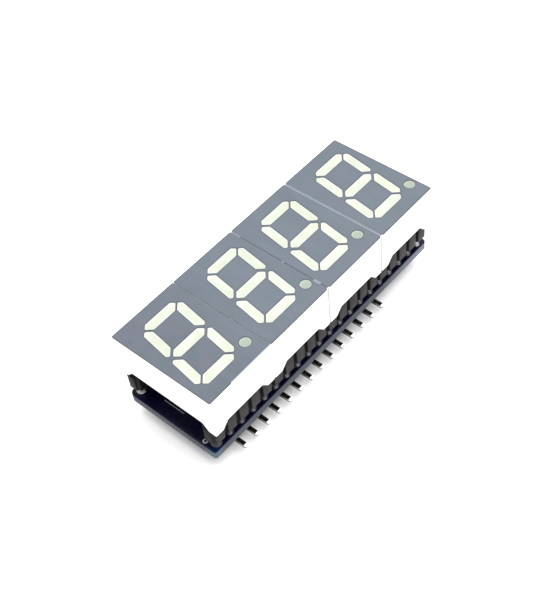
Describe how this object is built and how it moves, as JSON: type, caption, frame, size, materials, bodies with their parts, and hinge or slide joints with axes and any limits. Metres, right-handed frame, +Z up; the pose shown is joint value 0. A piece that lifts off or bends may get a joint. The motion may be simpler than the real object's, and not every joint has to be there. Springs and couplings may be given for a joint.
{
  "type": "seven segment display module",
  "caption": "Seven segment display module: white digit blocks with slanted segments plugged into socket strips on a dark blue circuit board, with a right-angle pin header below.",
  "frame": {"origin": "on the supporting surface, under the middle of the row of four displays", "axes": "+X along the row of figures in reading order, +Y towards the top of the figures, +Z up through the face"},
  "size_m": [0.0514, 0.0194, 0.0172],
  "materials": {
    "reflector_case": "white moulded plastic, satin",
    "face_mask": "grey printed layer, satin",
    "light_guide": "diffusing cast resin, unlit",
    "led_die": "semiconductor die",
    "lead_board": "green solder resist",
    "potting": "cast resin",
    "tinned_lead": "tinned wire",
    "socket_plastic": "black moulded thermoplastic",
    "turned_contact": "turned brass, tin plated",
    "solder": "solder",
    "circuit_board": "dark blue solder resist over glass fibre",
    "header_plastic": "black moulded thermoplastic",
    "header_pin": "tin plated brass",
    "resistor_body": "black glazed ceramic",
    "tinned_end": "tin plated",
    "transistor_body": "black moulded epoxy",
    "capacitor_body": "moulded epoxy"
  },
  "bodies": {
    "root": {"digit_1_case": "reflector_case", "digit_1_mask": "face_mask", "digit_1_light_guides": "light_guide", "digit_1_dies": "led_die", "digit_1_lead_board": "lead_board", "digit_1_backfill": "potting", "digit_1_leads": "tinned_lead", "digit_2_case": "reflector_case", "digit_2_mask": "face_mask", "digit_2_light_guides": "light_guide", "digit_2_dies": "led_die", "digit_2_lead_board": "lead_board", "digit_2_backfill": "potting", "digit_2_leads": "tinned_lead", "digit_3_case": "reflector_case", "digit_3_mask": "face_mask", "digit_3_light_guides": "light_guide", "digit_3_dies": "led_die", "digit_3_lead_board": "lead_board", "digit_3_backfill": "potting", "digit_3_leads": "tinned_lead", "digit_4_case": "reflector_case", "digit_4_mask": "face_mask", "digit_4_light_guides": "light_guide", "digit_4_dies": "led_die", "digit_4_lead_board": "lead_board", "digit_4_backfill": "potting", "digit_4_leads": "tinned_lead", "front_socket": "socket_plastic", "rear_socket": "socket_plastic", "front_contacts": "turned_contact", "rear_contacts": "turned_contact", "front_solder": "solder", "rear_solder": "solder", "header_solder": "solder", "circuit_board": "circuit_board", "header_body": "header_plastic", "header_pins": "header_pin", "series_resistors": "resistor_body", "base_resistors": "resistor_body", "series_resistor_ends": "tinned_end", "base_resistor_ends": "tinned_end", "transistors": "transistor_body", "transistor_leads": "tinned_end", "capacitor": "capacitor_body", "capacitor_straps": "tinned_end"}
  },
  "joints": []
}
